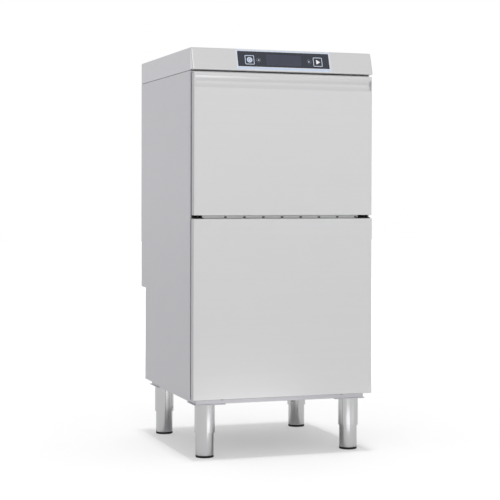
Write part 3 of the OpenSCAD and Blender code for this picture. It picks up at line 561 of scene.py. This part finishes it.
def side_panel(name, side):
    """A tall panel with a step at its lower rear, folded inward all round."""
    node = name + "_side_panel"
    low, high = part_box(node)
    step_y, step_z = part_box("rear_panel_lower")[1].y + 2 * MM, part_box("rear_panel_upper")[0].z
    flange = 9 * MM
    outline = [(low.y, low.z), (step_y, low.z), (step_y, step_z),
               (high.y, step_z), (high.y, high.z), (low.y, high.z)]
    outer = high.x if side > 0 else low.x
    place = Matrix(((0, 0, 1, outer - side * flange), (1, 0, 0, 0), (0, 1, 0, 0), (0, 0, 0, 1)))
    bm = prism(outline, place, side * flange)
    bmesh.ops.recalc_face_normals(bm, faces=bm.faces)
    bmesh.ops.delete(bm, geom=facing(bm, (-side, 0, 0)), context="FACES")
    round_edges(bm, [e for e in bm.edges if not e.is_boundary], FOLD)
    # The side sheet's darker steel is partly painted shade.
    make(name + "_side_sheet", bm, "cabinet", side_steel, node, sheet=SHEET)


def louvre(x, z, face_y, width, height, proud):
    """A pressed hood over one slot, open at its lower edge."""
    bm = bmesh.new()
    columns, rows = 14, 5
    grid = []
    for i in range(rows + 1):
        drop = i / rows
        row = []
        for j in range(columns + 1):
            across = 2 * j / columns - 1
            rise = proud * sin(drop * pi / 2) * (1 - abs(across) ** 6)
            row.append(bm.verts.new((x + across * width / 2, face_y + rise, z + height * (1 - drop))))
        grid.append(row)
    for i in range(rows):
        for j in range(columns):
            bm.faces.new((grid[i][j], grid[i][j + 1], grid[i + 1][j + 1], grid[i + 1][j]))
    bmesh.ops.recalc_face_normals(bm, faces=bm.faces)
    if sum(f.normal.y for f in bm.faces) < 0:
        bmesh.ops.reverse_faces(bm, faces=bm.faces)
    return bm


def facing_rear(y):
    """Local X to -X, local Y up and local Z to the rear, at the given depth."""
    return Matrix(((-1, 0, 0, 0), (0, 0, 1, y), (0, 1, 0, 0), (0, 0, 0, 1)))


# The radius in mm of each service connection's hole in the lower rear panel
HOLES = {"water_inlet_thread": 14.2, "drain_hose_tail": 17, "cable_gland_bore": 12.6}


def rear_panels():
    """The upper panel with its louvres and the bottom of the step, and the lower panel with its holes."""
    low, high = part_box("rear_panel_upper")
    half, face = high.x - 9.4 * MM, high.y
    hood_w, slot_h, pitch_x, pitch_z = 74 * MM, 5.6 * MM, 95 * MM, 16 * MM
    banks = ((0.560, 6), (1.100, 4))  # the height of each bank's lowest row, and its rows
    places = [(i * pitch_x, first + j * pitch_z)
              for first, rows in banks for i in range(-2, 3) for j in range(rows)]
    rect = [(-half, low.z + FOLD), (half, low.z + FOLD), (half, high.z), (-half, high.z)]
    slots = [round_rect(hood_w - 4 * MM, slot_h, 1.5 * MM, x, z + slot_h / 2 - 1.6 * MM)
             for x, z in places]
    bm = plate([rect] + slots, -SHEET, 0, facing_rear(face), 0.2 * MM)
    make("rear_upper_sheet", bm, "cabinet", side_steel, "rear_panel_upper", segments=1)
    hoods = [louvre(x, z, face - 0.1 * MM, hood_w, 8 * MM, 1.9 * MM) for x, z in places]
    make("rear_louvres", join(*hoods), "cabinet", side_steel, "rear_panel_upper", sheet=0.7 * MM)
    shelf = folded((-half, low.y, low.z + 0.1 * MM), (half, face, low.z + 9 * MM),
                   [(0, 0, 1), (0, -1, 0), (1, 0, 0), (-1, 0, 0)])
    make("rear_step_sheet", shelf, "cabinet", side_steel, "rear_panel_upper", sheet=SHEET)
    low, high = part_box("rear_panel_lower")
    loops = [[(-half, low.z), (half, low.z), (half, high.z), (-half, high.z)]]
    for mount, radius in HOLES.items():
        x, _, z = mounts[mount]["pos_m"]
        loops.append(disc(radius * MM, -x, z))
    bm = plate(loops, -SHEET, 0, facing_rear(high.y), 0.2 * MM)
    make("rear_lower_sheet", bm, "cabinet", side_steel, "rear_panel_lower", segments=1)


def cross_slot(arm, width):
    """The outline of a cross, one arm after another."""
    w = width / 2
    quarter = [(arm, -w), (arm, w), (w, w)]
    outline = []
    for _ in range(4):
        outline += quarter
        quarter = [(-y, x) for x, y in quarter]
    return outline


def screw_head(place, radius, height, socket):
    """A rounded head, with its socket cut into the outer two thirds."""
    return join(plate([disc(radius)], 0, height / 3, place),
                plate([disc(radius), socket], height / 3, height, place, height / 4))


def screws():
    """Cross-head screws on the rear and under the front, and black set screws in the legs."""
    upper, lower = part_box("rear_panel_upper")[1].y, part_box("rear_panel_lower")[1].y
    outer_x, inner_x = 280 * MM, 95 * MM
    upper_heights, lower_heights = (0.530, 1.185), (0.210, 0.480)
    heads = [(x, upper, z) for x in (-outer_x, -inner_x, inner_x, outer_x) for z in upper_heights]
    heads += [(x, lower, z) for x in (-outer_x, outer_x) for z in lower_heights]
    cross = cross_slot(2.4 * MM, 0.9 * MM)
    rear = [screw_head(Matrix.Translation((x, 0, z)) @ facing_rear(y), 4 * MM, 2 * MM, cross)
            for x, y, z in heads]
    make("panel_screws", join(*rear), "cabinet", zinc_steel, "cabinet_screws", segments=1)
    flip = Matrix.Rotation(pi, 4, "X")
    under_x, under_y, under_z = 200 * MM, -296 * MM, 184 * MM
    under = [screw_head(Matrix.Translation((x, under_y, under_z)) @ flip, 4 * MM, 2.4 * MM, cross)
             for x in (-under_x, under_x)]
    make("bottom_screws", join(*under), "cabinet", black_plastic, "cabinet_screws", segments=1)
    hexagon = disc(1.5 * MM, steps=6)
    set_z, seat_r = 91 * MM, 28.6 * MM
    sets = []
    for place in LEGS.values():
        inward = Matrix.Rotation(atan2(-place[1], -place[0]), 4, "Z") @ Matrix.Rotation(pi / 2, 4, "Y")
        seat = Matrix.Translation((*place, set_z)) @ inward @ Matrix.Translation((0, 0, seat_r))
        sets.append(screw_head(seat, 2.9 * MM, 3.2 * MM, hexagon))
    make("leg_set_screws", join(*sets), "cabinet", black_plastic, "cabinet_screws", segments=1)


# ---------------------------------------------------------------- door

def door_skin():
    """The door's front with the pull pressed in, folded back at its edges and open over the hinges."""
    low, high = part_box("door_outer_skin")
    pull_h, lip, pull_depth = 48 * MM, 10.5 * MM, 8 * MM
    cap, ramp = 2.8 * MM, 1.6 * MM  # the flat end of the pull, and its slope down to full depth
    hinge_x, radius, rows = 262 * MM, 2.4 * MM, 36
    ends = [high.x - cap - ramp * i / 6 for i in range(7)]
    right = [high.x] + ends + [hinge_x, 0.18, 0.09]
    columns = [-x for x in right] + [0.0] + right[::-1]
    heights = [low.z, (low.z + high.z) / 2]
    heights += [high.z - pull_h + (pull_h - lip) * i / rows for i in range(rows + 1)] + [high.z]

    def dent(x, z):
        """How far the pull is pressed in at one place."""
        rise = (z - high.z + pull_h) / (pull_h - lip)
        if not 0 < rise < 1:
            return 0.0
        inward = min(1.0, max(0.0, (high.x - cap - abs(x)) / ramp))
        return pull_depth * sin(pi * rise ** 1.06) * (3 - 2 * inward) * inward ** 2

    bm = bmesh.new()
    grid = [[bm.verts.new((x, low.y + dent(x, z), z)) for x in columns] for z in heights]
    for lower, upper in zip(grid, grid[1:]):
        for j in range(len(columns) - 1):
            bm.faces.new((lower[j], lower[j + 1], upper[j + 1], upper[j]))
    rim = [e for e in bm.edges if e.is_boundary]
    made = bmesh.ops.extrude_edge_only(bm, edges=rim)["geom"]
    for vertex in made:
        if isinstance(vertex, bmesh.types.BMVert):
            vertex.co.y = high.y
    bmesh.ops.recalc_face_normals(bm, faces=bm.faces)
    edge = low.y + 1e-6
    corners = [e for e in bm.edges if not e.is_boundary and e.calc_face_angle(0) > radians(80)
               and (e.verts[0].co.y > edge or e.verts[1].co.y > edge or e in rim)]
    round_edges(bm, corners, radius)
    over_hinge = [f for f in bm.faces if abs(f.calc_center_median().x) > hinge_x and f.normal.z < -0.99
                  and f.calc_center_median().y > low.y + radius]
    bmesh.ops.delete(bm, geom=over_hinge, context="FACES")
    # The door's side returns get the darker steel, as painted shade.
    make("door_front_sheet", bm, "door", front_steel, "door_outer_skin", sheet=SHEET, sides=shaded_return_steel)


# ---------------------------------------------------------------- legs

def legs():
    """Fixed sleeves with turned ends, and threaded feet with a rubber pad under each."""
    bottom, top = (corner.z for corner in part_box("leg_sleeves"))
    outer, bore, chamfer, plug = 31.5 * MM, 28.5 * MM, 0.8 * MM, 2 * MM
    sleeve = [(bore, bottom + chamfer), (bore + chamfer / 2, bottom), (outer - chamfer, bottom),
              (outer - 0.25 * chamfer, bottom + 0.25 * chamfer), (outer, bottom + chamfer),
              (outer, top), (0, top), (0, top - plug), (bore, top - plug)]
    places = [Matrix.Translation((*place, 0)) for place in LEGS.values()]
    tubes = [lathe(sleeve, place, 96) for place in places]
    make("leg_tubes", join(*tubes), "cabinet", turned_steel, "leg_sleeves")
    pad_h, wall, tube_r, tube_top, slant = 6 * MM, 3 * MM, 28 * MM, 134 * MM, 1.2 * MM
    tube = [(0, pad_h), (tube_r - slant, pad_h), (tube_r, pad_h + slant), (tube_r, tube_top),
            (tube_r - wall, tube_top), (tube_r - wall, pad_h + wall), (0, pad_h + wall)]
    pad_r, waist_r = 28.4 * MM, 27.9 * MM
    pad = [(0, 0), (pad_r - 1 * MM, 0), (pad_r, 0.8 * MM), (pad_r, 2.2 * MM), (waist_r, 2.7 * MM),
           (waist_r, 3.3 * MM), (pad_r, 3.8 * MM), (pad_r, pad_h - 0.6 * MM),
           (pad_r - 0.8 * MM, pad_h), (0, pad_h)]
    for name, place in zip(LEGS, places):
        body, node = name + "_foot_body", name + "_foot"
        make(name + "_foot_tube", lathe(tube, place, 96), body, turned_steel, node)
        make(name + "_foot_pad", lathe(pad, place, 96), body, black_rubber, node)


# ---------------------------------------------------------------- inner parts and fittings

ROUNDING = {  # the radius in mm that each inner part's edges get
    "front_frame": 0.4, "drip_gutter": 0.4, "door_inner_skin": 0.5, "door_hinge_arms": 0.5,
    "door_knuckles": 0.6, "door_seal": 1.2, "hinge_brackets": 0.5, "hinge_pins": 0.4,
    "hinge_covers": 0.8, "spring_anchors": 0.5, "door_magnet": 0.5, "door_switch": 0.8,
    "base_frame": 1.0, "chassis_posts": 0.5, "wash_chamber": 0.5, "wash_tank": 0.5,
    "tank_filter": 0.2, "overflow_pipe": 0.5, "lower_wash_arm": 1.0, "lower_rinse_arm": 0.8,
    "upper_wash_arm": 1.0, "upper_rinse_arm": 0.8, "arm_spindles": 0.5, "arm_nuts": 0.8,
    "rack_guides": 0.4, "wash_pump": 1.0, "pump_rotor": 0.4, "water_pipes": 0.5,
    "rinse_boiler": 1.5, "heating_elements": 0.3, "dosing_pump": 0.8, "dosing_rotor": 0.4,
    "electrical_box": 0.8, "inlet_valve": 0.4, "drain_outlet": 0.5, "cable_gland": 0.4,
    "control_board": 0.2,
}


def root_of_thread(vertex):
    """Moves the inlet's outside, behind the rear panel, in to the root of its thread."""
    x, _, z = mounts["water_inlet_thread"]["pos_m"]
    out = Vector((vertex.co.x - x, 0, vertex.co.z - z))
    if vertex.co.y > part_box("rear_panel_lower")[1].y and out.length > 12 * MM:
        vertex.co -= out.normalized() * 0.9 * MM


def inner_parts():
    """A copy with rounded edges of each part that Blender doesn't remake."""
    for body, members in frame["record"]["behaviour"]["bodies"].items():
        for node in members:
            if node in ROUNDING:
                reshape = root_of_thread if node == "inlet_valve" else None
                cad_copy(node, body, ROUNDING[node] * MM, reshape)


def sweep(path, radius, sides=10):
    """A round wire along a path, closed at its ends."""
    bm = bmesh.new()
    rings = []
    for i, point in enumerate(path):
        ahead = path[min(i + 1, len(path) - 1)] - path[max(i - 1, 0)]
        turn = ahead.to_track_quat("Z", "Y")
        rings.append([bm.verts.new(point + turn @ Vector((radius * cos(a), radius * sin(a), 0)))
                      for a in (2 * pi * k / sides for k in range(sides))])
    for first, second in zip(rings, rings[1:]):
        shift = min(range(sides), key=lambda k: (second[k].co - first[0].co).length)
        for k in range(sides):
            a, b = (k + shift) % sides, (k + 1 + shift) % sides
            bm.faces.new((first[k], first[(k + 1) % sides], second[b], second[a]))
    bm.faces.new(rings[0])
    bm.faces.new(rings[-1])
    bmesh.ops.recalc_face_normals(bm, faces=bm.faces)
    return bm


def door_springs():
    """Two close-wound extension springs with hooks."""
    low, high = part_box("door_springs")
    wire, coil_r, hook_r, gap, turns, steps = 1.1 * MM, 4.6 * MM, 4.5 * MM, 8 * MM, 52, 14
    y, bottom_pin, top_pin = (low.y + high.y) / 2, low.z + hook_r + wire, high.z - hook_r - wire
    start, end = bottom_pin + gap, top_pin - gap
    bends = [radians(60 + 20 * k) for k in range(16)]
    for name, x in (("left", low.x + 6 * MM), ("right", high.x - 6 * MM)):
        path = [Vector((x, y + hook_r * sin(a), bottom_pin + hook_r * cos(a))) for a in bends]
        for k in range(turns * steps + 1):
            a, rise = 2 * pi * k / steps, (end - start) * k / (turns * steps)
            path.append(Vector((x + coil_r * cos(a), y + coil_r * sin(a), start + rise)))
        path += [Vector((x, y - hook_r * sin(a), top_pin - hook_r * cos(a))) for a in reversed(bends)]
        spring = make(name + "_door_spring", sweep(path, wire), None, zinc_steel, "door_springs")
        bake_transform(spring)


def thread(place, radius, length, pitch, steps=28):
    """A raised helical thread round local Z, from Z = 0 to length."""
    bm = bmesh.new()
    depth, half = 0.55 * pitch, 0.42 * pitch
    count = int(length / pitch * steps)
    rings = []
    for i in range(count + 1):
        a, rise = 2 * pi * i / steps, half + (length - 2 * half) * i / count
        fade = min(1.0, i / 6, (count - i) / 6) * 0.98 + 0.02
        profile = [(radius - depth, -half), (radius + 0.05 * pitch * fade, 0), (radius - depth, half)]
        ring = [bm.verts.new((r * cos(a), r * sin(a), rise + z)) for r, z in profile]
        rings.append(ring)
    for first, second in zip(rings, rings[1:]):
        for k in range(3):
            bm.faces.new((first[k], first[(k + 1) % 3], second[(k + 1) % 3], second[k]))
    bm.faces.new(rings[0])
    bm.faces.new(rings[-1])
    bmesh.ops.recalc_face_normals(bm, faces=bm.faces)
    bmesh.ops.transform(bm, matrix=place, verts=bm.verts)
    return bm


def behind(mount, out):
    """A place on a service connection, out behind the lower rear panel, with local Z to the rear."""
    x, _, z = mount["pos_m"]
    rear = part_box("rear_panel_lower")[1].y
    return Matrix(((1, 0, 0, x), (0, 0, 1, rear + out), (0, -1, 0, z), (0, 0, 0, 1)))


def fittings():
    """The thread on the water inlet and the barbs on the drain's tail."""
    inlet, tail = mounts["water_inlet_thread"], mounts["drain_hose_tail"]
    radius, length, pitch = inlet["dims"]["r_mm"] * MM, 16 * MM, 1.8 * MM
    bm = thread(behind(inlet, 3 * MM), radius, length, pitch)
    make("inlet_thread", bm, "cabinet", white_plastic, "inlet_valve", sharp=25)
    radius = tail["dims"]["r_mm"] * MM
    root, crest = radius - 1 * MM, radius + 1.1 * MM
    barb = [(root, 0), (crest, 0), (crest, 0.6 * MM), (radius - 0.2 * MM, 5 * MM), (root, 5 * MM)]
    barbs = [lathe(barb, behind(tail, out * MM), 48) for out in (16, 25, 34)]
    make("drain_barbs", join(*barbs), "cabinet", grey_plastic, "drain_outlet")


inner_parts()
door_springs()
fittings()
lower_front_panel()
side_panel("left", -1)
side_panel("right", 1)
rear_panels()
screws()
door_skin()
legs()


# ---------------------------------------------------------------- camera, light and floor

FRONT_LIGHT, BACK_LIGHT, ZENITH_LIGHT = 0.88, 0.81, 0.74  # the studio's light in front, behind, above
SIDE_DARK = 0.60  # how much of that light is missing low down at the left and the right
FLOOR_GLOW, FAR_GLOW = 0.31, 0.70  # what whitens the floor for the camera, close by and far off


def add_camera():
    """A long lens at the height of the door's lower edge, shifted down so that uprights stay upright."""
    data = bpy.data.cameras.new("camera")
    data.sensor_width, data.lens, data.shift_y, data.clip_end = 36, 101.8, -0.069, 60
    camera = bpy.data.objects.new("camera", data)
    bpy.context.collection.objects.link(camera)
    camera.location = (-1.541, -4.453, 0.813)
    yaw, pitch, roll = radians(19.0), radians(-0.79), radians(0.12)
    turn = Matrix.Rotation(-yaw, 4, "Z") @ Matrix.Rotation(pi / 2 + pitch, 4, "X")
    turn = turn @ Matrix.Rotation(roll, 4, "Z")
    camera.rotation_euler = turn.to_euler()
    bpy.context.scene.camera = camera


def add_softbox(name, place, target, size, power):
    """A rectangular light that the camera doesn't see but steel mirrors."""
    data = bpy.data.lights.new(name, "AREA")
    data.shape, data.size, data.size_y, data.energy = "RECTANGLE", size[0], size[1], power
    light = bpy.data.objects.new(name, data)
    bpy.context.collection.objects.link(light)
    light.location = place
    direction = Vector(target) - Vector(place)
    light.rotation_euler = direction.to_track_quat("-Z", "Y").to_euler()
    light.visible_camera = False


def add_overhead():
    """Light from straight above, which keeps the shadow under the machine; steel doesn't mirror it."""
    data = bpy.data.lights.new("overhead_light", "SUN")
    data.energy, data.angle = 1.35, radians(4)
    light = bpy.data.objects.new("overhead_light", data)
    bpy.context.collection.objects.link(light)
    light.visible_glossy = False


def add_floor():
    """A matt floor, which glows for the camera alone so that it meets the white studio."""
    bm = bmesh.new()
    bmesh.ops.create_grid(bm, x_segments=8, y_segments=8, size=20)
    mesh = bpy.data.meshes.new("floor")
    bm.to_mesh(mesh)
    bm.free()
    floor = bpy.data.objects.new("floor", mesh)
    bpy.context.collection.objects.link(floor)
    finish = Finish("floor", (0.60, 0.60, 0.60), 0.85)
    finish.tint(finish.noise((0.4, 0.4, 0.4)), 0.004)
    seen = finish.add("ShaderNodeLightPath").outputs["Is Camera Ray"]
    reach = finish.add("ShaderNodeVectorMath", {0: finish.place}, operation="LENGTH").outputs["Value"]
    steps = {"Value": reach, "From Min": 1.2, "From Max": 3.5, "To Min": FLOOR_GLOW, "To Max": FAR_GLOW}
    far = finish.add("ShaderNodeMapRange", steps).outputs["Result"]
    glow = finish.add("ShaderNodeMath", {0: seen, 1: far}, operation="MULTIPLY").outputs["Value"]
    finish.wire(finish.shader, {"Emission Color": (1, 1, 1, 1), "Emission Strength": glow})
    mesh.materials.append(finish.material)


def add_world():
    """A white studio to the camera; what lights the machine is a little dimmer overhead than at the
    horizon, and darker low down at the sides.
    """
    world = bpy.data.worlds.new("studio")
    world.use_nodes = True
    shaders, links = world.node_tree.nodes, world.node_tree.links

    def math(operation, first, second, clamp=False):
        node = shaders.new("ShaderNodeMath")
        node.operation, node.use_clamp = operation, clamp
        for socket, value in zip(node.inputs, (first, second)):
            if isinstance(value, bpy.types.NodeSocket):
                links.new(value, socket)
            else:
                socket.default_value = value
        return node.outputs["Value"]

    direction = shaders.new("ShaderNodeSeparateXYZ")
    links.new(shaders.new("ShaderNodeTexCoord").outputs["Generated"], direction.inputs["Vector"])
    up = math("MAXIMUM", direction.outputs["Z"], 0.0)
    front = math("MULTIPLY_ADD", direction.outputs["Y"], -0.5)
    front.node.inputs[2].default_value = 0.5
    horizon = math("MULTIPLY_ADD", front, FRONT_LIGHT - BACK_LIGHT)
    horizon.node.inputs[2].default_value = BACK_LIGHT
    rise = math("POWER", up, 0.8)
    lit = math("MULTIPLY_ADD", rise, math("SUBTRACT", ZENITH_LIGHT, horizon))
    links.new(horizon, lit.node.inputs[2])
    # aside is 0 up to 48 degrees from the front or the back, and reaches 1 at 70 degrees.
    sideways = math("ABSOLUTE", direction.outputs["X"], 0.0)
    aside = math("MULTIPLY", math("SUBTRACT", sideways, 0.74), 5.0, True)
    low = math("SUBTRACT", 1.0, up)
    missing = math("MULTIPLY", aside, math("MULTIPLY", low, SIDE_DARK))
    lit = math("MULTIPLY", lit, math("SUBTRACT", 1.0, missing))
    seen = shaders.new("ShaderNodeLightPath").outputs["Is Camera Ray"]
    unseen = math("MULTIPLY", lit, math("SUBTRACT", 1.0, seen))
    strength = math("ADD", seen, unseen)
    links.new(strength, shaders["Background"].inputs["Strength"])
    shaders["Background"].inputs["Color"].default_value = (1, 1, 1, 1)
    bpy.context.scene.world = world


add_camera()
add_world()
add_floor()
add_softbox("key_light", (-1.6, -3.2, 3.4), (0, 0, 0.6), (2.4, 2.4), 12)
add_overhead()
add_softbox("floor_reflector", (0.04, -0.8, 0.01), (0.04, -0.8, 1), (0.42, 0.4), 0.46)
add_softbox("wide_reflector", (0.62, -0.8, 0.008), (0.62, -0.8, 1), (0.5, 0.35), 0.12)
bpy.context.scene.view_settings.view_transform = "Standard"
